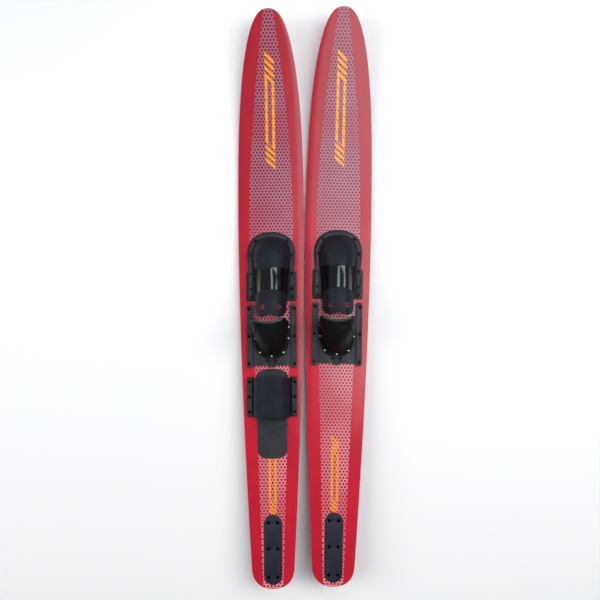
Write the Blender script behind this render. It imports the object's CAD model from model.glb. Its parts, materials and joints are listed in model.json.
"""Looks for the water ski pair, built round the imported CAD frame. Lengths in this file are in
millimetres in each ski's own axes (x across, y toward the tip, z up from the flat base),
unless a name says otherwise, and are turned into metres where a mesh is made."""

import json
import math

import bmesh
import bpy
from mathutils import Matrix, Vector


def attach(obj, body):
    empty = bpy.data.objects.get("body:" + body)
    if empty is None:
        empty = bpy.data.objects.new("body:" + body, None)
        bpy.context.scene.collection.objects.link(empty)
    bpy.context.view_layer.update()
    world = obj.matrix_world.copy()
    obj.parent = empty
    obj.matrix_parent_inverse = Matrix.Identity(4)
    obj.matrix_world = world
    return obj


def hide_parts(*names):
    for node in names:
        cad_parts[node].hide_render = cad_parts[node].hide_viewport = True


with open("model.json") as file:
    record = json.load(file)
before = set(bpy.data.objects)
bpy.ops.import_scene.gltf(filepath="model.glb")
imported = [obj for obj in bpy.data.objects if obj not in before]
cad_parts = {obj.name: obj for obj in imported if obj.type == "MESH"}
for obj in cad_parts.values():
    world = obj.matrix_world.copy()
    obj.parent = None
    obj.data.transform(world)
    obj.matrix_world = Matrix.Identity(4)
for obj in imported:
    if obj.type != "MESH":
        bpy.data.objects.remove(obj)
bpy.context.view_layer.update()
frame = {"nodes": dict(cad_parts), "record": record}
RECORD = frame["record"]
MM = 0.001
SIDES = {"left": -1, "right": 1}
OWN_PLACE = "own_place"

# Driving sizes, the same as the CAD's
HALF_LEN = 822.0
HALF_W = 97.0
SKI_T = 17.0
TIP_T = 9.0
TIP_RISE = 115.0
WIDE_Y = 0.3125 * HALF_LEN
ROCKER_Y = 0.28 * HALF_LEN
TAIL_ROUND = 55.0
TAIL_NARROW = 0.41
TUNNEL = 3.0
SHEET_T = 1.5
PIN_Y, PIN_Z = -173.0, 10.2
TOE_FRONT = 183.4
FIN_Y = -710.0
SCREW_R, HEAD_R = 2.7, 4.6


# ---------- small maths ----------
def clamp(v, lo=0.0, hi=1.0):
    return max(lo, min(hi, v))


def ease(v):
    c = clamp(v)
    return c * c * (3 - 2 * c)


def spow(v, p):
    return math.copysign(abs(v) ** p, v)


def super_pt(a, b, power, degrees):
    """Point of a superellipse with half axes a and b."""
    t = math.radians(degrees)
    c, s = math.cos(t), math.sin(t)
    if abs(c) < 1e-9:
        c = 0.0
    if abs(s) < 1e-9:
        s = 0.0
    return a * spow(c, 2 / power), b * spow(s, 2 / power)


def bezier(p, t):
    u = 1 - t
    return p[0] * u**3 + 3 * p[1] * t * u * u + 3 * p[2] * t * t * u + p[3] * t**3


def joint(name):
    return next(j for j in RECORD["behaviour"]["joints"] if j["name"] == name)


def ski_matrix(side_name):
    """The ski's own axes in the row frame, read from its heel slide and its lever hinge."""
    along = Vector(joint(f"{side_name}_heel_slide")["axis"]).normalized()
    hinge = joint(f"{side_name}_lock_lever_hinge")
    across = -Vector(hinge["axis"]).normalized()
    up = across.cross(along).normalized()
    turn = Matrix((across, along, up)).transposed().to_4x4()
    pin = Vector((0, PIN_Y, SKI_T + PIN_Z)) * MM
    return Matrix.Translation(Vector(hinge["pos_m"]) - turn.to_3x3() @ pin) @ turn


SKI = {name: ski_matrix(name) for name in SIDES}


# ---------- mesh helpers ----------
def new_object(name, verts, faces, smooth=True):
    mesh = bpy.data.meshes.new(name)
    mesh.from_pydata([Vector(v) * MM for v in verts], [], faces)
    bm = bmesh.new()
    bm.from_mesh(mesh)
    bmesh.ops.remove_doubles(bm, verts=bm.verts, dist=2e-6)
    bmesh.ops.recalc_face_normals(bm, faces=bm.faces)
    bm.to_mesh(mesh)
    bm.free()
    obj = bpy.data.objects.new(name, mesh)
    bpy.context.scene.collection.objects.link(obj)
    for poly in mesh.polygons:
        poly.use_smooth = smooth
    return obj


def crease_by_angle(obj, degrees=35):
    """Smooth faces, with an edge kept sharp where the surface turns by more than this."""
    mesh = obj.data
    bm = bmesh.new()
    bm.from_mesh(mesh)
    limit = math.radians(degrees)
    for edge in bm.edges:
        if len(edge.link_faces) == 2:
            edge.smooth = edge.calc_face_angle(0) < limit
    for face in bm.faces:
        face.smooth = True
    bm.to_mesh(mesh)
    bm.free()


def grid_faces(rows, cols, start=0, closed=False):
    last = cols if closed else cols - 1
    return [
        (start + i * cols + j, start + i * cols + (j + 1) % cols,
         start + (i + 1) * cols + (j + 1) % cols, start + (i + 1) * cols + j)
        for i in range(rows - 1) for j in range(last)
    ]


def shell(name, outer, inner, lip=0.0):
    """Closed skin between two grids of points, with its free edges joined by a rounded lip."""
    rows, cols = len(outer), len(outer[0])
    verts = [Vector(p) for row in outer for p in row] + [Vector(p) for row in inner for p in row]
    size = rows * cols
    faces = grid_faces(rows, cols) + [tuple(reversed(f)) for f in grid_faces(rows, cols, size)]
    rim = [i * cols for i in range(rows)]
    rim += [(rows - 1) * cols + j for j in range(1, cols)]
    rim += [i * cols + cols - 1 for i in range(rows - 2, -1, -1)]
    rim += [j for j in range(cols - 2, 0, -1)]
    count = len(rim)
    if lip <= 0:
        for k in range(count):
            a, b = rim[k], rim[(k + 1) % count]
            faces.append((a, b, b + size, a + size))
        return new_object(name, verts, faces)
    # The lip bulges away from the sheet, so the edge of the rubber is round
    middle = []
    for k in range(count):
        a = rim[k]
        i, j = divmod(a, cols)
        back_i = 1 if i == 0 else rows - 2 if i == rows - 1 else i
        back_j = 1 if j == 0 else cols - 2 if j == cols - 1 else j
        centre = (verts[a] + verts[a + size]) / 2
        inward = (verts[back_i * cols + back_j] + verts[back_i * cols + back_j + size]) / 2 - centre
        out = -inward.normalized() if inward.length > 1e-9 else Vector()
        thick = (verts[a] - verts[a + size])
        for share, push in ((0.27, 0.36), (0.0, 0.5), (-0.27, 0.36)):
            middle.append(centre + thick * share + out * thick.length * push * lip)
    base = len(verts)
    verts += middle
    for k in range(count):
        n = (k + 1) % count
        chain_a = [rim[k], base + 3 * k, base + 3 * k + 1, base + 3 * k + 2, rim[k] + size]
        chain_b = [rim[n], base + 3 * n, base + 3 * n + 1, base + 3 * n + 2, rim[n] + size]
        for s in range(4):
            faces.append((chain_a[s], chain_b[s], chain_b[s + 1], chain_a[s + 1]))
    return new_object(name, verts, faces)


def apply_modifiers(obj):
    bpy.context.view_layer.update()
    deps = bpy.context.evaluated_depsgraph_get()
    mesh = bpy.data.meshes.new_from_object(obj.evaluated_get(deps))
    obj.modifiers.clear()
    obj.data = mesh
    return obj


def cut(obj, *cutters):
    """Cuts holes and removes the cutters."""
    for cutter in cutters:
        mod = obj.modifiers.new("cut", "BOOLEAN")
        mod.operation = "DIFFERENCE"
        mod.solver = "EXACT"
        mod.object = cutter
    apply_modifiers(obj)
    for cutter in cutters:
        bpy.data.objects.remove(cutter)
    return obj


def join(name, *objs):
    """Several objects in the same axes as one mesh."""
    bm = bmesh.new()
    for obj in objs:
        bm.from_mesh(obj.data)
    mesh = bpy.data.meshes.new(name)
    bm.to_mesh(mesh)
    bm.free()
    for obj in objs:
        bpy.data.objects.remove(obj)
    out = bpy.data.objects.new(name, mesh)
    bpy.context.scene.collection.objects.link(out)
    return out


def prism(name, loops, z0, z1, bevel=0.6, segments=2):
    """Flat plate with rounded edges. The first loop is its outline and the others are holes."""
    data = bpy.data.curves.new(name, "CURVE")
    data.dimensions = "2D"
    data.fill_mode = "BOTH"
    data.extrude = ((z1 - z0) / 2 - bevel) * MM
    data.bevel_depth = bevel * MM
    data.bevel_resolution = segments
    data.offset = -bevel * MM
    for loop in loops:
        spline = data.splines.new("POLY")
        spline.points.add(len(loop) - 1)
        for point, (x, y) in zip(spline.points, loop):
            point.co = (x * MM, y * MM, 0, 1)
        spline.use_cyclic_u = True
    curve = bpy.data.objects.new(name + "_curve", data)
    bpy.context.scene.collection.objects.link(curve)
    bpy.context.view_layer.update()
    deps = bpy.context.evaluated_depsgraph_get()
    mesh = bpy.data.meshes.new_from_object(curve.evaluated_get(deps))
    bpy.data.objects.remove(curve)
    mesh.transform(Matrix.Translation((0, 0, (z0 + z1) / 2 * MM)))
    bm = bmesh.new()
    bm.from_mesh(mesh)
    bmesh.ops.remove_doubles(bm, verts=bm.verts, dist=5e-6)
    bmesh.ops.recalc_face_normals(bm, faces=bm.faces)
    bm.to_mesh(mesh)
    bm.free()
    obj = bpy.data.objects.new(name, mesh)
    bpy.context.scene.collection.objects.link(obj)
    crease_by_angle(obj, 40)
    return obj


def arc(x, y, r, first, last, step):
    """Points on a circle, from one angle in degrees to another."""
    turns = [math.radians(first + step * k) for k in range(round((last - first) / step) + 1)]
    return [(x + r * math.cos(t), y + r * math.sin(t)) for t in turns]


def circle_loop(x, y, r, steps=24):
    turns = [math.tau * k / steps for k in range(steps)]
    return [(x + r * math.cos(t), y + r * math.sin(t)) for t in turns]


def rounded_box_loop(x0, y0, x1, y1, r):
    corners = ((x1 - r, y1 - r), (x0 + r, y1 - r), (x0 + r, y0 + r), (x1 - r, y0 + r))
    return [p for k, (x, y) in enumerate(corners) for p in arc(x, y, r, 90 * k, 90 * k + 90, 15)]


def holes_at(places, radius=SCREW_R):
    """Screw holes, or the wider pockets for their heads."""
    return [circle_loop(x, y, radius) for x, y in places]


def lathe(name, profile, places, steps=24):
    """Turned pieces at several places. The profile's (radius, z) run from the axis out and down."""
    verts, faces = [], []
    for x, y, z in places:
        rings = []
        for r, h in profile:
            if r < 1e-6:
                rings.append([len(verts)])
                verts.append((x, y, z + h))
                continue
            rings.append(list(range(len(verts), len(verts) + steps)))
            for k in range(steps):
                t = math.tau * k / steps
                verts.append((x + r * math.cos(t), y + r * math.sin(t), z + h))
        for a, b in zip(rings, rings[1:]):
            for k in range(steps):
                n = (k + 1) % steps
                if len(a) == 1:
                    faces.append((a[0], b[k], b[n]))
                elif len(b) == 1:
                    faces.append((a[k], b[0], a[n]))
                else:
                    faces.append((a[k], b[k], b[n], a[n]))
    obj = new_object(name, verts, faces)
    crease_by_angle(obj, 40)
    return obj


def tube(name, path, radius, steps=12):
    """Bead of rubber along a path, rounded off at both ends."""
    points = [Vector(p) for p in path]
    last = len(points) - 1
    verts = []
    side = Vector((0, 0, 1))
    for k, point in enumerate(points):
        along = (points[min(k + 1, last)] - points[max(k - 1, 0)]).normalized()
        side = (side - along * side.dot(along)).normalized()
        other = along.cross(side)
        r = radius * (0.25 + 0.75 * ease(min(k, last - k) / 3))
        for j in range(steps):
            t = math.tau * j / steps
            verts.append(point + side * (r * math.cos(t)) + other * (r * math.sin(t)))
    faces = grid_faces(len(points), steps, closed=True)
    faces.append(tuple(range(steps)))
    faces.append(tuple(reversed(range(last * steps, (last + 1) * steps))))
    return new_object(name, verts, faces)


def prism_cutter(loop, z0, z1):
    steps = len(loop)
    verts = [(p[0], p[1], z0) for p in loop] + [(p[0], p[1], z1) for p in loop]
    faces = [tuple(range(steps - 1, -1, -1)), tuple(range(steps, 2 * steps))]
    faces += [(k, (k + 1) % steps, steps + (k + 1) % steps, steps + k) for k in range(steps)]
    return new_object("cutter", verts, faces)


def keep_own_place(mesh):
    """Stores each point's place in the ski's own axes, in metres, for the materials."""
    places = [c for v in mesh.vertices for c in v.co]
    mesh.attributes.new(OWN_PLACE, "FLOAT_VECTOR", "POINT").data.foreach_set("vector", places)


def settle(obj, side_name, part, material, body, extra=()):
    """Puts a piece on its ski and declares what it stands for."""
    node = part if part.startswith("rear_") else f"{side_name}_{part}"
    obj.name = f"{node}_visual"
    obj.data.name = obj.name
    keep_own_place(obj.data)
    obj.data.transform(SKI[side_name])
    for item in (material, *extra):
        obj.data.materials.append(item)
    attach(obj, f"{side_name}_{body}")
    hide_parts(node)
    return obj


# ---------- material helpers ----------
def srgb(r, g, b):
    """Scene colour of an 8-bit display colour."""
    def one(v):
        v /= 255
        return v / 12.92 if v <= 0.04045 else ((v + 0.055) / 1.055) ** 2.4

    return one(r), one(g), one(b), 1.0


class Val:
    """A number in a material's node graph that plain arithmetic works on."""

    def __init__(self, tree, source):
        self.tree = tree
        self.source = source

    def op(self, kind, *others):
        node = self.tree.nodes.new("ShaderNodeMath")
        node.operation = kind
        for k, item in enumerate((self, *others)):
            if isinstance(item, Val):
                self.tree.links.new(item.source, node.inputs[k])
            else:
                node.inputs[k].default_value = item
        return Val(self.tree, node.outputs[0])

    def __add__(self, other):
        return self.op("ADD", other)

    def __sub__(self, other):
        return self.op("SUBTRACT", other)

    def __mul__(self, other):
        return self.op("MULTIPLY", other)

    def __truediv__(self, other):
        return self.op("DIVIDE", other)

    def size(self):
        return self.op("ABSOLUTE")

    def flip(self):
        return (self * -1.0) + 1.0

    def below(self, other):
        return self.op("LESS_THAN", other)

    def above(self, other):
        return self.op("GREATER_THAN", other)

    def least(self, other):
        return self.op("MINIMUM", other)

    def most(self, other):
        return self.op("MAXIMUM", other)

    def power(self, other):
        return self.op("POWER", other)

    def fraction(self):
        return self.op("FRACT")

    def fold(self, half):
        """Distance to the nearest multiple of twice the given length."""
        return self.op("PINGPONG", half)

    def span(self, low, high, to_low=0.0, to_high=1.0, smooth=True):
        node = self.tree.nodes.new("ShaderNodeMapRange")
        node.interpolation_type = "SMOOTHSTEP" if smooth else "LINEAR"
        node.inputs["From Min"].default_value = low
        node.inputs["From Max"].default_value = high
        node.inputs["To Min"].default_value = to_low
        node.inputs["To Max"].default_value = to_high
        self.tree.links.new(self.source, node.inputs["Value"])
        return Val(self.tree, node.outputs["Result"])


class Look:
    """A material under construction, in metres, in the ski's own axes where that is asked for."""

    def __init__(self, name, roughness, metallic=0.0, specular=0.5, own=False):
        self.material = bpy.data.materials.new(name)
        self.material.use_nodes = True
        self.tree = self.material.node_tree
        self.bsdf = self.tree.nodes["Principled BSDF"]
        self.bsdf.inputs["Roughness"].default_value = roughness
        self.bsdf.inputs["Metallic"].default_value = metallic
        self.bsdf.inputs["Specular IOR Level"].default_value = specular
        if own:
            self.coords = self.own_place()
        else:
            self.coords = self.tree.nodes.new("ShaderNodeTexCoord").outputs["Object"]

    def own_place(self):
        node = self.tree.nodes.new("ShaderNodeAttribute")
        node.attribute_name = OWN_PLACE
        return node.outputs["Vector"]

    def axes(self):
        """The point's place in the ski's own axes, in millimetres."""
        split = self.tree.nodes.new("ShaderNodeSeparateXYZ")
        self.tree.links.new(self.own_place(), split.inputs[0])
        return [Val(self.tree, out) * 1000.0 for out in split.outputs]

    def stretched(self, scale):
        node = self.tree.nodes.new("ShaderNodeMapping")
        node.inputs["Scale"].default_value = scale
        self.tree.links.new(self.coords, node.inputs["Vector"])
        return node.outputs[0]

    def noise(self, scale, detail=3.0, rough=0.55, stretch=None):
        node = self.tree.nodes.new("ShaderNodeTexNoise")
        node.inputs["Scale"].default_value = scale
        node.inputs["Detail"].default_value = detail
        node.inputs["Roughness"].default_value = rough
        self.tree.links.new(self.stretched(stretch) if stretch else self.coords, node.inputs["Vector"])
        return Val(self.tree, node.outputs[0])

    def cells(self, scale):
        node = self.tree.nodes.new("ShaderNodeTexVoronoi")
        node.inputs["Scale"].default_value = scale
        self.tree.links.new(self.coords, node.inputs["Vector"])
        return Val(self.tree, node.outputs["Distance"])

    def mix(self, share, a, b):
        node = self.tree.nodes.new("ShaderNodeMix")
        node.data_type = "RGBA"
        self.tree.links.new(share.source, node.inputs["Factor"])
        for value, socket in ((a, node.inputs[6]), (b, node.inputs[7])):
            if isinstance(value, tuple):
                socket.default_value = value
            else:
                self.tree.links.new(value, socket)
        return node.outputs[2]

    def colour(self, source):
        self.tree.links.new(source, self.bsdf.inputs["Base Color"])

    def roughness(self, value):
        self.tree.links.new(value.source, self.bsdf.inputs["Roughness"])

    def bump(self, height, depth_mm, strength=1.0):
        """Relief whose height of one stands this many millimetres proud."""
        node = self.tree.nodes.new("ShaderNodeBump")
        node.inputs["Strength"].default_value = strength
        node.inputs["Distance"].default_value = depth_mm * MM
        self.tree.links.new(height.source, node.inputs["Height"])
        self.tree.links.new(node.outputs[0], self.bsdf.inputs["Normal"])

    def coat(self, weight, roughness):
        self.bsdf.inputs["Coat Weight"].default_value = weight
        self.bsdf.inputs["Coat Roughness"].default_value = roughness

    def worn_edges(self, low=0.52, high=0.62):
        """One on outside edges, broken up so that the wear looks hand-made."""
        node = self.tree.nodes.new("ShaderNodeNewGeometry")
        edge = Val(self.tree, node.outputs["Pointiness"]).span(low, high)
        return edge * self.noise(260, 4.0).span(0.42, 0.62)


def moulded(name, tones, rough, grain, depth, specular, spread=0.08):
    """Moulded rubber or plastic: uneven tone, fine grain, faint scuffs and rubbed edges.

    The tones are dark, light and, where its edges rub, worn.
    """
    look = Look(name, rough, specular=specular)
    dark, light, *wear = [srgb(*tone) for tone in tones]
    tone = look.noise(22, 3.0).span(0.3, 0.7) * 0.6 + look.noise(420, 2.0) * 0.4
    base = look.mix(tone, dark, light)
    if wear:
        base = look.mix(look.worn_edges() * 0.5, base, wear[0])
    look.colour(base)
    scuff = look.noise(120, 5.0, 0.6, (1.0, 0.14, 1.0)).span(0.52, 0.75)
    look.roughness(look.noise(35, 3.0).span(0.3, 0.7, rough - spread, rough + spread) + scuff * 0.07)
    look.bump(look.cells(grain) * 0.7 + look.noise(grain * 0.5, 3.0) * 0.6, depth)
    return look


def metal(name, dark, light, rough, stretch=(1.0, 1.0, 1.0)):
    look = Look(name, rough, metallic=1.0)
    tone = look.noise(180, 4.0).span(0.3, 0.7)
    look.colour(look.mix(tone, dark, light))
    look.roughness(look.noise(650, 4.0, 0.6, stretch).span(0.25, 0.75, rough - 0.1, rough + 0.14))
    look.bump(look.noise(1400, 3.0, 0.6, stretch), 0.02)
    return look.material


# ---------- printed laminate ----------
DOT_PITCH = 10.1
DOT_ROW = 8.75
DOT_R = 3.3
BAND_Y, BAND_HW, BAND_TAIL_HW, BAND_TIP = 210.0, 64.4, 28.1, 680.0
UPPER_MOTIF = (393.0, 703.0, 14.0)
LOWER_MOTIF = (-619.0, -407.0, 11.0)


def dot_lattice(x, y):
    """Nearness to the closest dot of a hexagonal field, as a distance in millimetres."""
    near = None
    for shift_x, shift_y in ((0.0, 0.0), (DOT_PITCH / 2, DOT_ROW)):
        dx = (x + shift_x).fold(DOT_PITCH / 2)
        dy = (y + shift_y).fold(DOT_ROW)
        reach = (dx * dx + dy * dy).power(0.5)
        near = reach if near is None else near.least(reach)
    return near


def band_share(x, y):
    """One inside the printed band, which is widest at the toes."""
    tail = y.span(-HALF_LEN, BAND_Y, BAND_TAIL_HW, BAND_HW, smooth=False)
    past = (y - BAND_Y).most(0.0) / BAND_TIP
    half = tail * (past * past).flip().most(0.0)
    return (x.size() - half).span(-0.35, 0.35, 1.0, 0.0)


def motif(x, y, low, high, half):
    """Plain striped bar: slanted stripes at both ends and paired rails between."""
    slant = y + x * 0.9
    inside = x.size().below(half) * slant.above(low) * slant.below(high)
    length = high - low
    end = (slant - (low + high) / 2).size().above(length * 0.29)
    stripes = ((slant - low) / (length / 17)).fraction().above(0.42)
    gaps = ((slant - low) / (length * 0.0967)).fraction().above(0.075)
    rails = x.size().above(half * 0.42) * gaps
    return inside * (end * stripes + end.flip() * rails)


def make_laminate():
    look = Look("top_laminate_look", 0.5, specular=0.1, own=True)
    x, y, _ = look.axes()
    cloud = look.noise(9, 2.0)
    red = look.mix(y.span(-500, 700), srgb(196, 22, 46), srgb(166, 18, 40))
    red = look.mix(cloud.span(0.35, 0.65) * 0.35, red, srgb(160, 15, 36))
    mesh = look.mix(y.span(-700, 560), srgb(226, 140, 150), srgb(170, 106, 124))
    fade = look.noise(4.2, 1.0).span(0.38, 0.6, 0.5, 1.0)
    mesh = look.mix(fade, srgb(176, 44, 68), mesh)
    ink = look.mix(y.span(-650, 560), srgb(172, 20, 46), srgb(104, 18, 44))
    print_edge = look.noise(700, 2.0) * 0.5
    dots = (dot_lattice(x, y) + print_edge).span(DOT_R, DOT_R + 0.7)
    print_band = look.mix(dots, ink, mesh)
    surface = look.mix(band_share(x, y), red, print_band)
    orange = look.mix(dots * 0.5 + 0.5, srgb(220, 128, 22), srgb(238, 156, 34))
    shapes = motif(x, y, *UPPER_MOTIF).most(motif(x, y, *LOWER_MOTIF))
    surface = look.mix(shapes, surface, orange)
    scratch = look.noise(60, 6.0, 0.65, (9.0, 0.35, 1.0)).span(0.6, 0.72)
    surface = look.mix(scratch * 0.03, surface, srgb(226, 150, 165))
    surface = look.mix(look.worn_edges(0.53, 0.6) * 0.35, surface, srgb(235, 150, 150))
    look.colour(surface)
    look.roughness(look.noise(30, 4.0).span(0.3, 0.7, 0.40, 0.52) + scratch * 0.12)
    look.bump(look.noise(1100, 3.0) * 0.4 + look.noise(70, 2.0) * 1.2 + shapes * 1.5, 0.012)
    look.coat(0.55, 0.2)
    return look.material


def make_sidewall():
    """Laminated core edge: thin layers and a scuffed, sanded skin."""
    look = Look("sidewall_look", 0.5, own=True)
    _, _, z = look.axes()
    layers = (z + look.noise(14, 2.0) * 1.6).fold(1.1).span(0.1, 0.9)
    base = look.mix(layers, srgb(84, 26, 38), srgb(120, 34, 50))
    scuff = look.noise(140, 5.0, 0.6, (1.0, 0.12, 1.0)).span(0.58, 0.75)
    look.colour(look.mix(scuff * 0.5, base, srgb(166, 92, 96)))
    look.roughness(look.noise(60, 4.0).span(0.3, 0.7, 0.38, 0.6))
    look.bump(layers * 0.5 + look.noise(500, 3.0), 0.05)
    look.coat(0.3, 0.3)
    return look.material


def make_base():
    """Running surface with long scratches from use."""
    look = Look("base_look", 0.34)
    long_marks = look.noise(50, 7.0, 0.7, (11.0, 0.25, 1.0)).span(0.56, 0.7)
    cloud = look.noise(7, 3.0).span(0.3, 0.7)
    base = look.mix(cloud, srgb(176, 22, 46), srgb(202, 36, 58))
    look.colour(look.mix(long_marks * 0.35, base, srgb(226, 128, 138)))
    look.roughness(look.noise(25, 3.0).span(0.3, 0.7, 0.26, 0.4) + long_marks * 0.2)
    look.bump(long_marks * -1.0 + look.noise(900, 2.0) * 0.3, 0.03)
    look.coat(0.5, 0.15)
    return look.material


# ---------- rubber, plastic, foam and metal ----------
def make_gloss_rubber():
    """Polished over the instep, dull and dusty down the sides."""
    tones = ((7, 9, 11), (14, 17, 20))
    look = moulded("gloss_rubber_look", tones, 0.4, 700, 0.002, 0.05, spread=0.05)
    look.coat(1.0, 0.08)
    polish = look.axes()[2].span(SKI_T + 54, SKI_T + 68, 0.0, 1.0)
    look.tree.links.new(polish.source, look.bsdf.inputs["Coat Weight"])
    return look.material


def make_matte_rubber():
    tones = ((21, 24, 31), (32, 36, 45), (70, 76, 84))
    return moulded("matte_rubber_look", tones, 0.52, 1100, 0.04, 0.12).material


def make_hood_rubber():
    tones = ((8, 9, 10), (15, 16, 17), (56, 58, 60))
    return moulded("hood_rubber_look", tones, 0.54, 1300, 0.05, 0.1).material


def make_rim_rubber():
    tones = ((40, 42, 44), (56, 58, 61), (84, 86, 88))
    return moulded("rim_rubber_look", tones, 0.5, 1300, 0.05, 0.35).material


def make_clamp_plastic():
    tones = ((27, 26, 36), (42, 39, 52), (88, 85, 96))
    return moulded("clamp_look", tones, 0.5, 1500, 0.05, 0.32).material


def make_plate_plastic():
    tones = ((3, 3, 5), (8, 8, 10), (40, 40, 44))
    return moulded("toe_plate_look", tones, 0.46, 1200, 0.04, 0.3).material


def make_grained_plate():
    """Heel plate with a leather-like moulded grain."""
    tones = ((22, 24, 30), (38, 41, 48), (86, 88, 94))
    return moulded("heel_plate_look", tones, 0.48, 480, 0.12, 0.34).material


def make_fin_plastic():
    tones = ((16, 17, 20), (30, 31, 35), (70, 70, 74))
    return moulded("fin_look", tones, 0.4, 900, 0.05, 0.5).material


def make_fin_plate_plastic():
    tones = ((25, 26, 38), (37, 38, 51), (80, 80, 92))
    return moulded("fin_plate_look", tones, 0.5, 1400, 0.05, 0.3).material


def make_lever_plastic():
    tones = ((13, 13, 16), (22, 22, 26), (70, 70, 76))
    return moulded("lever_look", tones, 0.46, 1100, 0.05, 0.3).material


def make_foam():
    """Closed-cell foam with fine ribs across the foot and open pores."""
    look = Look("foam_look", 0.72, specular=0.3, own=True)
    _, y, _ = look.axes()
    ribs = y.fold(1.6).span(0.1, 1.5)
    pores = look.cells(900).span(0.02, 0.5)
    tone = look.noise(26, 3.0).span(0.3, 0.7) * 0.6 + look.noise(500, 2.0) * 0.4
    base = look.mix(tone, srgb(32, 34, 39), srgb(50, 52, 59))
    look.colour(look.mix(pores * 0.8 + 0.2, srgb(24, 25, 29), base))
    look.roughness(look.noise(90, 4.0).span(0.3, 0.7, 0.64, 0.8))
    look.bump(pores + ribs * 1.4, 0.16)
    look.bsdf.inputs["Sheen Weight"].default_value = 0.15
    return look.material


LAMINATE = make_laminate()
SIDEWALL = make_sidewall()
BASE = make_base()
GLOSS_RUBBER = make_gloss_rubber()
MATTE_RUBBER = make_matte_rubber()
HOOD_RUBBER = make_hood_rubber()
RIM_RUBBER = make_rim_rubber()
CLAMP = make_clamp_plastic()
PLATE = make_plate_plastic()
PLATE_GRAIN = make_grained_plate()
FIN_PLASTIC = make_fin_plastic()
FIN_PLATE = make_fin_plate_plastic()
LEVER = make_lever_plastic()
FOAM = make_foam()
BRIGHT_METAL = metal("rivet_look", srgb(206, 208, 212), srgb(238, 239, 242), 0.3)
BLACK_STEEL = metal("screw_look", srgb(9, 9, 12), srgb(26, 26, 31), 0.42)
RACK_STEEL = metal("rack_look", srgb(120, 122, 126), srgb(168, 170, 174), 0.34, (1.0, 0.1, 1.0))
BRASS = metal("insert_look", srgb(168, 128, 58), srgb(206, 168, 92), 0.34)


# ---------- the ski's shape ----------
def half_w(y):
    if y > WIDE_Y:
        return HALF_W * (1 - ((y - WIDE_Y) / (HALF_LEN - WIDE_Y)) ** 2.5) ** 0.4
    share = 1 - TAIL_NARROW * ((WIDE_Y - y) / (WIDE_Y + HALF_LEN)) ** 1.65
    over = (TAIL_ROUND - HALF_LEN - y) / TAIL_ROUND
    return HALF_W * share * (1 if over <= 0 else (1 - over**2.3) ** (1 / 2.3))


def along_rocker(y):
    return max(0.0, y - ROCKER_Y) / (HALF_LEN - ROCKER_Y)


def rise(y):
    return TIP_RISE * along_rocker(y) ** 2


def deck_z(y):
    return rise(y) + SKI_T - (SKI_T - TIP_T) * along_rocker(y) ** 1.5


def base_z(share, y):
    f = abs(share)
    if f > 0.93:
        return rise(y) + 4.0 * (f - 0.93) / 0.07
    if f > 0.62:
        return rise(y)
    depth = TUNNEL * ease((y + 560) / 80) * ease((620 - y) / 140)
    return rise(y) + depth * (0.5 + 0.5 * math.cos(math.pi * f / 0.62))


END_ANGLE = 89.6
TAIL_Y = TAIL_ROUND - HALF_LEN
TAIL_STEPS, MIDDLE_STEPS, TIP_STEPS = 22, 44, 64


def toward_end(k, steps):
    """Share of the way to a closed end, with the steps crowding together there."""
    return math.sin(math.radians(END_ANGLE * k / steps))


STATIONS = [TAIL_Y - TAIL_ROUND * toward_end(k, TAIL_STEPS) for k in range(TAIL_STEPS, 0, -1)]
STATIONS += [TAIL_Y + (WIDE_Y - TAIL_Y) * k / MIDDLE_STEPS for k in range(MIDDLE_STEPS)]
STATIONS += [
    WIDE_Y + (HALF_LEN - WIDE_Y) * toward_end(k, TIP_STEPS) for k in range(TIP_STEPS + 1)
]
EDGE_STEPS = ((0.0, 0.9), (0.25, 0.45), (0.7, 0.14), (1.5, 0.0))
DECK_SHARES = (0.8, 0.55, 0.28, 0.0, -0.28, -0.55, -0.8)
HALF_BASE = (1.0, 0.985, 0.955, 0.93, 0.9, 0.76, 0.62, 0.52, 0.42, 0.32, 0.22, 0.11)
BASE_SHARES = HALF_BASE + (0.0,) + tuple(-s for s in reversed(HALF_BASE))


def deck_row(y, down=0.0, rounded=True):
    w, z = half_w(y), deck_z(y) - down
    row = [(w - min(inset, 0.3 * w), y, z - (drop if rounded else 0)) for inset, drop in EDGE_STEPS]
    inner = w - min(EDGE_STEPS[-1][0], 0.3 * w)
    row += [(inner * s, y, z) for s in DECK_SHARES]
    row += [(-x, y, h) for x, y, h in reversed(row[: len(EDGE_STEPS)])]
    return row


def base_row(y, up=0.0):
    return [(s * half_w(y), y, base_z(s, y) + up) for s in BASE_SHARES]


def core_top_row(y):
    return [(s * half_w(y), y, deck_z(y) - SHEET_T) for s in BASE_SHARES]


def make_ski_layers(side):
    top = shell("top", [deck_row(y) for y in STATIONS], [deck_row(y, SHEET_T, False) for y in STATIONS])
    crease_by_angle(top, 50)
    core = shell("core", [core_top_row(y) for y in STATIONS], [base_row(y, SHEET_T) for y in STATIONS])
    crease_by_angle(core, 50)
    base = shell("base", [base_row(y, SHEET_T) for y in STATIONS], [base_row(y) for y in STATIONS])
    crease_by_angle(base, 20)
    settle(top, side, "top_sheet", LAMINATE, "ski")
    settle(core, side, "core", SIDEWALL, "ski")
    settle(base, side, "base_sheet", BASE, "ski")


# ---------- toe binding ----------
PLATE_T, FLANGE_T, CLAMP_T = 4.0, 3.0, 4.0
CLAMP_IN, CLAMP_OUT = 54.7, 66.0
CLAMP_MID = 59.0
PLATE_HW, BLOCK_HW, BLOCK_FRONT = 71.0, 74.0, 86.0
ARCH_Y = 131.0
LEG_END = 9.0
TOE_SCREW_Y = (131, 78, 34, 11)


def arch_loop(a, back, steps=48):
    """Horseshoe outline: a front arch with straight sides."""
    arch = [super_pt(a, a, 2.3, 180 * k / steps) for k in range(steps + 1)]
    return [(a, back)] + [(x, y + ARCH_Y) for x, y in arch] + [(-a, back)]


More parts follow.
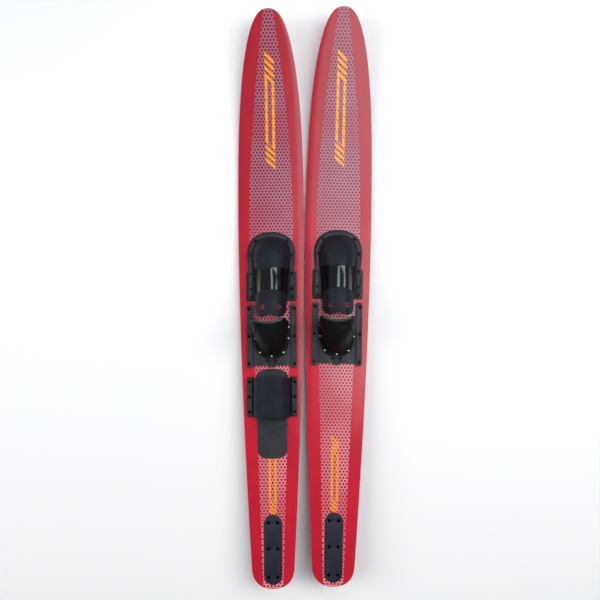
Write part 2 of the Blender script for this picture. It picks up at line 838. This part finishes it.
def toe_screw_places():
    cx, cy = super_pt(CLAMP_MID, CLAMP_MID, 2.3, 43)
    places = []
    for s in (-1, 1):
        places.append((s * cx, cy + ARCH_Y))
        places += [(s * CLAMP_MID, y) for y in TOE_SCREW_Y]
    return places


def toe_half(y):
    if y > 125:
        return 52 * max(0.0, 1 - ((y - 125) / (TOE_FRONT - 125)) ** 2.3) ** (1 / 2.3)
    return 52 - 9 * clamp((125 - y) / 125)


def toe_height(y):
    if y > 90:
        return 70 * max(0.0, 1 - ((y - 90) / (TOE_FRONT - 90)) ** 2.4) ** (1 / 2.4)
    return 70 + 13 * clamp((90 - y) / 90) ** 1.2


def toe_power(y):
    """Roundness of the rubber arch: softer over the toes and slimmer at the start of the neck."""
    return 2.6 - 0.42 * math.exp(-(((y - 88) / 34) ** 2)) - 0.25 * ease((y - 110) / 60)


def arch_pt(y, grow, degrees, flare=0.0):
    x, z = super_pt(toe_half(y) + grow, toe_height(y) + grow, toe_power(y), degrees)
    x += math.copysign(flare * math.exp(-z / 5), x)
    return x, y, SKI_T + PLATE_T + z


def arch_stations(first, last, count):
    """Places along the foot that crowd together where the front closes."""
    begin = 120
    straight = [first + (begin - first) * k / count for k in range(count)]
    end = math.asin((last - begin) / (TOE_FRONT - begin))
    front = [(TOE_FRONT - begin) * math.sin(end * k / count) for k in range(count + 1)]
    return straight + [begin + y for y in front]


def make_toe_rubber(side):
    ys = arch_stations(0, TOE_FRONT - 0.1, 20)
    angles = [180 * k / 56 for k in range(57)]
    outer = [[arch_pt(y, 0, a, 3.5) for a in angles] for y in ys]
    inner = [[arch_pt(y, -4, a) for a in angles] for y in ys]
    inner = [[(x, y * (1 - 4 / TOE_FRONT), z) for x, y, z in row] for row in inner]
    arch = shell("arch", outer, inner, lip=1.0)
    outline = arch_loop(CLAMP_OUT + 0.6, LEG_END - 5)
    hole = [(toe_half(y) - 2, y - 1) for y in ys] + [(2 - toe_half(y), y - 1) for y in reversed(ys)]
    flange = prism("flange", [outline, hole[1:-1]], SKI_T + PLATE_T, SKI_T + PLATE_T + FLANGE_T, 0.7)
    for face in flange.data.polygons:
        face.material_index = 1
    obj = join("toe_rubber", arch, flange)
    crease_by_angle(obj, 45)
    return settle(obj, side, "toe_rubber", GLOSS_RUBBER, "ski", (PLATE,))


def make_toe_cap(side):
    ys = arch_stations(90, TOE_FRONT - 0.1, 20)
    angles = [3 + 174 * k / 56 for k in range(57)]
    # The outside stands forward of the toe rubber as well as above it
    outer = [[arch_pt(y, 2.2, a, 2.0) for a in angles] for y in ys]
    outer = [[(x, y + 1.2 * clamp((y - 130) / 50) ** 3, z) for x, y, z in row] for row in outer]
    inner = [[arch_pt(y, 0.05, a) for a in angles] for y in ys]
    obj = shell("toe_cap", outer, inner, lip=1.0)
    crease_by_angle(obj, 60)
    return settle(obj, side, "toe_cap", MATTE_RUBBER, "ski")


FLAP_EDGE = 15.0
HOLE_X, HOLE_Y, HOLE_R = (-21.5, 21.5), -22.0, 7.2


def flap_front(degrees):
    c = abs(math.cos(math.radians(degrees))) / math.cos(math.radians(FLAP_EDGE))
    return 26 - 15 * c * c


def flap_back(degrees):
    c = abs(math.cos(math.radians(degrees)))
    side = c / math.cos(math.radians(FLAP_EDGE))
    return -41 - 8 * math.sin(math.radians(200 * c)) + 9 * side**12


def flap_pt(share, degrees, grow):
    y = flap_front(degrees) + share * (flap_back(degrees) - flap_front(degrees))
    narrow = 1.3 * ease(-y / 30)
    power = toe_power(max(y, 0))
    lifted = grow + 2 * ease(-y / 50)
    x, z = super_pt(toe_half(y) + grow - narrow, toe_height(y) + lifted, power, degrees)
    return x, y, SKI_T + PLATE_T + z


def make_instep_flap(side):
    angles = [FLAP_EDGE + (180 - 2 * FLAP_EDGE) * k / 60 for k in range(61)]
    shares = [1 - k / 26 for k in range(27)]
    outer = [[flap_pt(s, a, 3.5) for a in angles] for s in shares]
    inner = [[flap_pt(s, a, 0.5) for a in angles] for s in shares]
    obj = shell("flap", outer, inner, lip=1.0)
    cutters = [prism_cutter(circle_loop(x, HOLE_Y, HOLE_R, 32), SKI_T, SKI_T + 150) for x in HOLE_X]
    cut(obj, *cutters)
    soften = obj.modifiers.new("edges", "BEVEL")
    soften.width = 0.9 * MM
    soften.segments = 3
    soften.limit_method = "ANGLE"
    soften.angle_limit = math.radians(60)
    apply_modifiers(obj)
    crease_by_angle(obj, 40)
    return settle(obj, side, "instep_flap", MATTE_RUBBER, "ski")


def make_toe_plate(side):
    """The wide rear block steps in to the arch."""
    block = rounded_box_loop(-BLOCK_HW, -2, BLOCK_HW, BLOCK_FRONT, 7)
    right = sorted((p for p in block if p[0] > 0), key=lambda p: p[1])
    left = [(-x, y) for x, y in reversed(right)]
    outline = right + arch_loop(PLATE_HW, BLOCK_FRONT - 2)[1:-1] + left
    plate = prism("plate", [outline] + holes_at(toe_screw_places()), SKI_T, SKI_T + PLATE_T, 0.9)
    return settle(plate, side, "toe_plate", PLATE, "ski")


def clamp_loop(inset=0.0):
    """U strip, with its legs rounded off at their rear ends."""
    outer = arch_loop(CLAMP_OUT - inset, LEG_END, 64)
    inner = arch_loop(CLAMP_IN + inset, LEG_END, 64)
    r = (CLAMP_OUT - CLAMP_IN) / 2 - inset
    mid = (CLAMP_OUT + CLAMP_IN) / 2
    left_end, right_end = (arc(x, LEG_END, r, 195, 345, 15) for x in (-mid, mid))
    return outer + left_end + inner[::-1] + right_end


def make_horseshoe(side):
    z0 = SKI_T + PLATE_T + FLANGE_T
    places = toe_screw_places()
    low = prism("low", [clamp_loop()] + holes_at(places), z0, z0 + 1.6, 0.3)
    pockets = holes_at(places, HEAD_R)
    high = prism("high", [clamp_loop(0.4)] + pockets, z0 + 1.5, z0 + CLAMP_T, 1.0)
    return settle(join("clamp", low, high), side, "horseshoe_clamp", CLAMP, "ski")


# ---------- heel binding ----------
RAIL_IN, RAIL_WALL, RAIL_OUT = 55.0, 58.5, 72.5
RAIL_FRONT, RAIL_BACK, RAIL_H = -12.0, -196.0, 11.0
SLIDE_GAP, HEEL_T = 0.3, 6.0
HEEL_TOP = SLIDE_GAP + HEEL_T
HEEL_FRONT, HEEL_BACK, HEEL_HW = -67.0, -189.0, 58.0
FLANGE_HW, RIVET_R, RUNNER_IN = 52.5, 1.6, 8.0
LUG_R, PIN_R = 4.0, 1.5
RAIL_SCREW_X, RAIL_SCREWS = 65.5, (-24, -104, -184)


def make_rail(side, part, direction):
    """Upright wall, with a lip over the heel plate and a rounded top."""
    lip_z, top_z = SKI_T + HEEL_TOP + 0.4, SKI_T + RAIL_H
    a, b = sorted((direction * RAIL_WALL, direction * RAIL_OUT))
    c, d = sorted((direction * RAIL_IN, direction * RAIL_OUT))
    wall = rounded_box_loop(a, RAIL_BACK, b, RAIL_FRONT, 5.5)
    strip = rounded_box_loop(c, RAIL_BACK, d, RAIL_FRONT, 5.8)
    places = [(direction * RAIL_SCREW_X, y) for y in RAIL_SCREWS]
    foot = prism("foot", [wall] + holes_at(places), SKI_T, lip_z + 0.3, 0.25)
    head = prism("head", [strip] + holes_at(places), lip_z, top_z - 1.9, 0.4)
    top = prism("rail_top", [strip] + holes_at(places, HEAD_R), top_z - 2.6, top_z, 1.1, 3)
    return settle(join("rail", foot, head, top), side, part, CLAMP, "ski")


def heel_pt(a, depth, degrees):
    x, y = super_pt(a, depth, 3, degrees)
    return x, -75 - y


def rivet_places():
    places = []
    for t in (0, 15, 55, 90, 125, 165, 180):
        x, y = heel_pt(FLANGE_HW - 3, 87, t)
        places.append((x, y - (3 if t % 180 == 0 else 0)))
    return places


def prism_x(name, loops, x0, x1, bevel=0.4):
    """Plate in the ski's side plane: its loops are (y, z), and it is thick along x."""
    obj = prism(name, loops, x0, x1, bevel)
    obj.data.transform(Matrix(((0, 0, 1, 0), (1, 0, 0, 0), (0, 1, 0, 0), (0, 0, 0, 1))))
    return obj


def make_lug(s):
    """Ear that holds one end of the lever's pin."""
    foot, pin_z = SKI_T + HEEL_TOP - 0.3, SKI_T + PIN_Z
    crown = arc(PIN_Y, pin_z, LUG_R, 0, 180, 15)
    lug = [(PIN_Y + LUG_R, foot)] + crown + [(PIN_Y - LUG_R, foot)]
    x0, x1 = sorted((s * 13, s * 16))
    return prism_x("lug", [lug, circle_loop(PIN_Y, pin_z, PIN_R, 20)], x0, x1, 0.3)


def make_heel_plate(side):
    """Plate on two runners, with pads, ribs and the lever's ears at its rear edge."""
    z0, top = SKI_T + SLIDE_GAP, SKI_T + HEEL_TOP
    outline = rounded_box_loop(-HEEL_HW, HEEL_BACK, HEEL_HW, HEEL_FRONT, 2)
    window = rounded_box_loop(-6.5, -188, 6.5, -176.5, 1.2)
    bores = [circle_loop(x, y, RIVET_R, 12) for x, y in rivet_places()]
    pieces = [prism("upper", [outline, window] + bores, z0 + 2.6, z0 + HEEL_T, 0.6)]
    for s in (-1, 1):
        x0, x1 = sorted((s * RUNNER_IN, s * HEEL_HW))
        runner = rounded_box_loop(x0, HEEL_BACK, x1, HEEL_FRONT, 1.5)
        pieces.append(prism("runner", [runner], z0, z0 + 2.9, 0.3))
        pad = rounded_box_loop(s * 26 - 9, -187, s * 26 + 9, -182, 1.5)
        pieces.append(prism("pad", [pad], top - 0.2, top + 1.6, 0.5))
        for x in (s * 17, s * 29, s * 41):
            rib = rounded_box_loop(x - 0.8, -180, x + 0.8, -171, 0.7)
            pieces.append(prism("rib", [rib], top - 0.2, top + 0.8, 0.25))
        pieces.append(make_lug(s))
    return settle(join("heel_plate", *pieces), side, "heel_plate", PLATE_GRAIN, "heel")


HOOD_H = 126.0
HOOD_LEAN = -6.0
HOOD_BACK = ((-155.0, 0.0), (-166.0, 0.44 * HOOD_H), (-138.0, 0.9 * HOOD_H), (-68.0, HOOD_H))
HOOD_HALF = (37.0, 60.0, 54.0, 43.6)


def hood_pt(s, degrees, inset):
    """Point of the hood at a share of its height, from its right front edge round to its left."""
    power = 1.6 + 1.4 * (1 - s) ** 4
    back_y, back_z = (bezier([p[k] for p in HOOD_BACK], s) for k in (0, 1))
    front_y, front_z = -75 + 21 * s, 0.92 * HOOD_H * s
    x, reach = super_pt(bezier(HOOD_HALF, s) - inset, 1, power, degrees)
    depth = max(0.01, front_y - back_y - inset * (1 - 0.6 * s))
    sine = math.sin(math.radians(degrees))
    z = SKI_T + HEEL_TOP + front_z + (back_z - front_z) * sine - 0.5 * inset * s
    # The rim sags a little between its ends
    z -= 2.5 * s**6 * sine**4
    return x + HOOD_LEAN * s * s, front_y - reach * depth, z


def hood_ridge(s, degrees):
    """Moulded crease down each side of the back panel, which fades into the rim and the flange."""
    line = 26 + 16 * s
    near = min(abs(degrees - line), abs(180 - degrees - line))
    return 1.9 * math.exp(-((near / 2.2) ** 2)) * ease(s / 0.15) * ease((0.92 - s) / 0.08)


def heel_curve(a, depth, front):
    """U round the heel, from its right front end to its left one."""
    curve = [heel_pt(a, depth, 180 * k / 48) for k in range(49)]
    return [(a, front)] + curve + [(-a, front)]


def finger_slot():
    """Slanted stadium through the hood, just behind its rim."""
    turn = math.radians(115)
    loop = []
    for k in range(24):
        t = math.tau * k / 24
        u = 4 * math.cos(t)
        v = 4 * math.sin(t) + math.copysign(8, math.sin(t) + 1e-6)
        x = 18 + HOOD_LEAN + u * math.cos(turn) - v * math.sin(turn)
        loop.append((x, -84 + u * math.sin(turn) + v * math.cos(turn)))
    return prism_cutter(loop, SKI_T + 60, SKI_T + 160)


def make_heel_flange():
    """Flat foot of the hood, open toward the toes."""
    outer = heel_curve(FLANGE_HW, 93, -69)
    inner = heel_curve(35, 78, -71)[::-1]
    top = SKI_T + HEEL_TOP
    return prism("flange", [outer + [(-36, -69)] + inner + [(36, -69)]], top, top + FLANGE_T, 0.7)


def make_heel_rubber(side):
    angles = [180 * k / 120 for k in range(121)]
    outer, inner = [], []
    for s in (k / 44 for k in range(45)):
        bead = 1.9 * ease((s - 0.93) / 0.03)
        outer.append([hood_pt(s, a, -bead - hood_ridge(s, a)) for a in angles])
        inner.append([hood_pt(s, a, 4 + bead) for a in angles])
    hood = cut(shell("hood", outer, inner, lip=1.0), finger_slot())
    flange = make_heel_flange()
    rim = tube("rim", [hood_pt(1.0, 2 + 176 * k / 60, 1.6) for k in range(61)], 3.3)
    for face in rim.data.polygons:
        face.material_index = 1
    obj = join("heel_rubber", hood, flange, rim)
    crease_by_angle(obj, 45)
    return settle(obj, side, "heel_rubber", HOOD_RUBBER, "heel", (RIM_RUBBER,))


def make_rivets(side):
    top = SKI_T + HEEL_TOP + FLANGE_T
    head = ((0, 1.35), (0.9, 1.28), (1.8, 1.0), (2.5, 0.5), (2.8, 0.05), (2.75, -0.05))
    shank = ((RIVET_R, -0.05), (RIVET_R, -8.2), (0, -8.2))
    obj = lathe("rivets", head + shank, [(x, y, top) for x, y in rivet_places()])
    return settle(obj, side, "heel_rivets", BRIGHT_METAL, "heel")


# ---------- fin ----------
REST_SLOPE = math.tan(math.asin(-joint("left_heel_slide")["axis"][2]))
FIN_REST = (-768.0, -694.0)
FIN_ROOT = (-792.0, -634.0)


def ground(y):
    return -58 + (y - FIN_Y) * REST_SLOPE


def stadium_loop(width, length, y):
    r, half = width / 2, (length - width) / 2
    top = arc(0, y + half, r, 0, 180, 9)
    return top + [(-x, 2 * y - end) for x, end in top]


def fin_edge(root, rest):
    """Quarter ellipse in the side plane, from the ski down to the ground: (y, z)."""
    turns = [math.radians(a) for a in range(0, 91, 6)]
    drop = ground(rest) + 1
    return [(root + (rest - root) * (1 - math.cos(t)), drop * math.sin(t) - 1) for t in turns]


def fin_bolt_places():
    return [(s * 13, y) for s in (-1, 1) for y in (-637, FIN_Y, -789)]


def make_fin(side):
    """Blade under a flat foot, with a rounded spine between them."""
    lead = fin_edge(FIN_ROOT[1], FIN_REST[1])
    trail = fin_edge(FIN_ROOT[0], FIN_REST[0])[::-1]
    blade = prism_x("blade", [lead + trail], -3, 3, 1.3)
    foot = prism("foot", [stadium_loop(44, 190, FIN_Y - 2)], -4, 0, 1.2)
    spine = prism("spine", [stadium_loop(12, 166, FIN_Y - 2)], -7.5, -3.6, 1.6, 4)
    return settle(join("fin", blade, foot, spine), side, "fin", FIN_PLASTIC, "ski")


def make_fin_plate(side):
    places = fin_bolt_places()
    wide = [stadium_loop(52, 196, FIN_Y - 2)] + holes_at(places)
    slim = [stadium_loop(51.4, 195.4, FIN_Y - 2)] + holes_at(places, HEAD_R)
    low = prism("low", wide, SKI_T, SKI_T + 1.0, 0.2)
    high = prism("high", slim, SKI_T + 0.8, SKI_T + 3, 0.9, 3)
    return settle(join("fin_plate", low, high), side, "fin_plate", FIN_PLATE, "ski")


# ---------- rear toe binding of the left ski ----------
REAR_Y, REAR_LEN = -279.0, 114.0


def strap_pt(y, grow, degrees, flare=0.0):
    tilt = 4 * (y - REAR_Y) / REAR_LEN
    x, z = super_pt(54 + grow, 58 + tilt + grow, 2.6, degrees)
    x += math.copysign(flare * math.exp(-z / 4), x)
    return x, y, SKI_T + z


def make_rear_strap():
    half = REAR_LEN / 2
    ys = [REAR_Y - half + REAR_LEN * k / 24 for k in range(25)]
    angles = [180 * k / 56 for k in range(57)]

    def edge(y, a):
        """The strap's ends bow outward over the foot."""
        share = (y - REAR_Y) / half
        return y - 5 * share * (1 - math.sin(math.radians(a)))

    outer = [[(p[0], edge(y, a), p[2]) for a in angles for p in [strap_pt(y, 0, a, 2.5)]] for y in ys]
    inner = [[(p[0], edge(y, a), p[2]) for a in angles for p in [strap_pt(y, -4, a)]] for y in ys]
    strap = shell("strap", outer, inner, lip=1.0)
    pieces = [strap]
    for s in (-1, 1):
        x0, x1 = sorted((s * 52, s * 73))
        loop = rounded_box_loop(x0, REAR_Y - half, x1, REAR_Y + half, 4)
        pieces.append(prism("flange", [loop], SKI_T, SKI_T + 3, 0.6))
    obj = join("rear_strap", *pieces)
    crease_by_angle(obj, 45)
    settle(obj, "left", "rear_toe_strap", MATTE_RUBBER, "ski")


def make_rear_clamp(part, direction):
    places = [(direction * 65, REAR_Y + d) for d in (-43, 0, 43)]
    loop = [(x + direction * 65, y) for x, y in stadium_loop(16, 112, REAR_Y)]
    z0 = SKI_T + 3
    low = prism("low", [loop] + holes_at(places), z0, z0 + 2.6, 0.3)
    high = prism("high", [loop] + holes_at(places, HEAD_R), z0 + 2.4, z0 + 5, 1.0, 3)
    settle(join("clamp", low, high), "left", part, CLAMP, "ski")


PAD_FRONT, PAD_BACK, PAD_NOSE, PAD_HEEL = -198.0, -456.0, 30.0, 22.0
PAD_HW, PAD_REAR_HW, PAD_POWER = 47.0, 42.0, 2.3


def pad_half(y):
    """Half width of the foot pad, slightly slimmer toward the tail, with full rounded ends."""
    nose, heel = PAD_FRONT - PAD_NOSE, PAD_BACK + PAD_HEEL
    if y > nose:
        return PAD_HW * max(0.0, 1 - ((y - nose) / PAD_NOSE) ** PAD_POWER) ** (1 / PAD_POWER)
    if y < heel:
        return PAD_REAR_HW * max(0.0, 1 - ((heel - y) / PAD_HEEL) ** PAD_POWER) ** (1 / PAD_POWER)
    return PAD_REAR_HW + (PAD_HW - PAD_REAR_HW) * (y - heel) / (nose - heel)


def pad_height(x, y, end):
    """Foam with a rolled edge and a slight crown."""
    edge = min(pad_half(y) - abs(x), end + 0.2)
    roll = 1 - clamp(edge / 2.6)
    return 4.4 - 2.4 * roll * roll + 0.5 * (1 - (x / 49) ** 2) * ease(end / 30)


def make_foot_pad():
    nose, heel = PAD_FRONT - PAD_NOSE, PAD_BACK + PAD_HEEL
    ys = [heel - PAD_HEEL * math.cos(math.radians(a)) for a in range(3, 90, 5)]
    ys += [heel + (nose - heel) * k / 40 for k in range(41)]
    ys += [nose + PAD_NOSE * math.sin(math.radians(a)) for a in range(4, 88, 5)]
    shares = [math.sin(math.radians(90 * k / 14)) for k in range(-14, 15)]
    top, low = [], []
    for y in ys:
        end = min(y - PAD_BACK, PAD_FRONT - y)
        places = [-s * pad_half(y) for s in shares]
        top.append([(x, y, SKI_T + pad_height(x, y, end)) for x in places])
        low.append([(x, y, SKI_T + 0.05) for x in places])
    obj = shell("foot_pad", top, low)
    crease_by_angle(obj, 50)
    settle(obj, "left", "rear_foot_pad", FOAM, "ski")


# ---------- CAD pieces that keep their shape ----------
def refine(node, material, width_mm, angle=35):
    """Rounds a CAD piece's edges and gives it its finish."""
    obj = frame["nodes"][node]
    obj.data.materials.clear()
    obj.data.materials.append(material)
    if width_mm > 0:
        edges = obj.modifiers.new("rounded edges", "BEVEL")
        edges.width = width_mm * MM
        edges.segments = 2
        edges.limit_method = "ANGLE"
        edges.angle_limit = math.radians(angle)


def refine_carried_pieces(side):
    for part in ("horseshoe_screws", "rail_screws", "fin_bolts"):
        refine(f"{side}_{part}", BLACK_STEEL, 0.25, 50)
    refine(f"{side}_threaded_inserts", BRASS, 0.2)
    refine(f"{side}_lock_rack", RACK_STEEL, 0.25)
    refine(f"{side}_lock_pin", BLACK_STEEL, 0.25)
    refine(f"{side}_lock_springs", BLACK_STEEL, 0.15, 50)
    refine(f"{side}_lock_lever", LEVER, 0.5)


# ---------- studio ----------
def make_floor():
    half = 30.0
    verts = [(-half, -half, 0), (half, -half, 0), (half, half, 0), (-half, half, 0)]
    mesh = bpy.data.meshes.new("floor")
    mesh.from_pydata(verts, [], [(0, 1, 2, 3)])
    floor = bpy.data.objects.new("floor", mesh)
    bpy.context.scene.collection.objects.link(floor)
    look = Look("floor_look", 0.9, specular=0.1)
    look.colour(look.mix(look.noise(3, 2.0), (0.92, 0.925, 0.93, 1), (0.93, 0.93, 0.94, 1)))
    floor.data.materials.append(look.material)


def area_light(name, place, aim, width, height, power, colour=(1, 1, 1)):
    data = bpy.data.lights.new(name, "AREA")
    data.shape = "RECTANGLE"
    data.size = width
    data.size_y = height
    data.energy = power
    data.color = colour
    lamp = bpy.data.objects.new(name, data)
    lamp.location = place
    lamp.rotation_euler = (Vector(aim) - Vector(place)).to_track_quat("-Z", "Y").to_euler()
    bpy.context.scene.collection.objects.link(lamp)


def make_lights():
    world = bpy.data.worlds.new("studio")
    world.use_nodes = True
    world.node_tree.nodes["Background"].inputs[0].default_value = (0.93, 0.96, 1.0, 1)
    world.node_tree.nodes["Background"].inputs[1].default_value = WORLD_LIGHT
    bpy.context.scene.world = world
    area_light("softbox_right", (1.25, 0.35, 2.4), (0.1, 0.1, 0), 1.5, 2.4, RIGHT_LIGHT)
    area_light("softbox_left", (-2.3, 0.0, 2.2), (0, 0, 0), 1.4, 2.6, LEFT_LIGHT)
    area_light("softbox_tip", (0.0, 2.7, 2.2), (0, 0.2, 0), 2.4, 0.8, TOP_LIGHT)
    area_light("strip", (0.13, 1.2, 2.4), (0, 0.1, 0), 0.42, 0.7, STRIP_LIGHT, (0.62, 0.85, 1.0))


WORLD_LIGHT = 0.2
RIGHT_LIGHT, LEFT_LIGHT, TOP_LIGHT = 56.0, 46.0, 10.0
STRIP_LIGHT = 6.0
CAMERA_PLACE = (-0.013, -0.004, 1.70)
CAMERA_FOV = 55.6
CAMERA_ROLL = 0.28


def make_camera():
    data = bpy.data.cameras.new("camera")
    data.sensor_fit = "HORIZONTAL"
    data.angle = math.radians(CAMERA_FOV)
    camera = bpy.data.objects.new("camera", data)
    camera.location = CAMERA_PLACE
    camera.rotation_euler = (0, 0, math.radians(CAMERA_ROLL))
    bpy.context.scene.collection.objects.link(camera)
    bpy.context.scene.camera = camera


def build():
    for side, sign in SIDES.items():
        make_ski_layers(side)
        make_toe_plate(side)
        make_toe_rubber(side)
        make_toe_cap(side)
        make_instep_flap(side)
        make_horseshoe(side)
        make_rail(side, "rail_outer", sign)
        make_rail(side, "rail_inner", -sign)
        make_heel_plate(side)
        make_heel_rubber(side)
        make_rivets(side)
        make_fin(side)
        make_fin_plate(side)
        refine_carried_pieces(side)
    make_rear_strap()
    make_rear_clamp("rear_clamp_outer", -1)
    make_rear_clamp("rear_clamp_inner", 1)
    make_foot_pad()
    refine("rear_toe_screws", BLACK_STEEL, 0.25, 50)


build()
make_floor()
make_lights()
make_camera()
bpy.context.scene.view_settings.view_transform = "Standard"
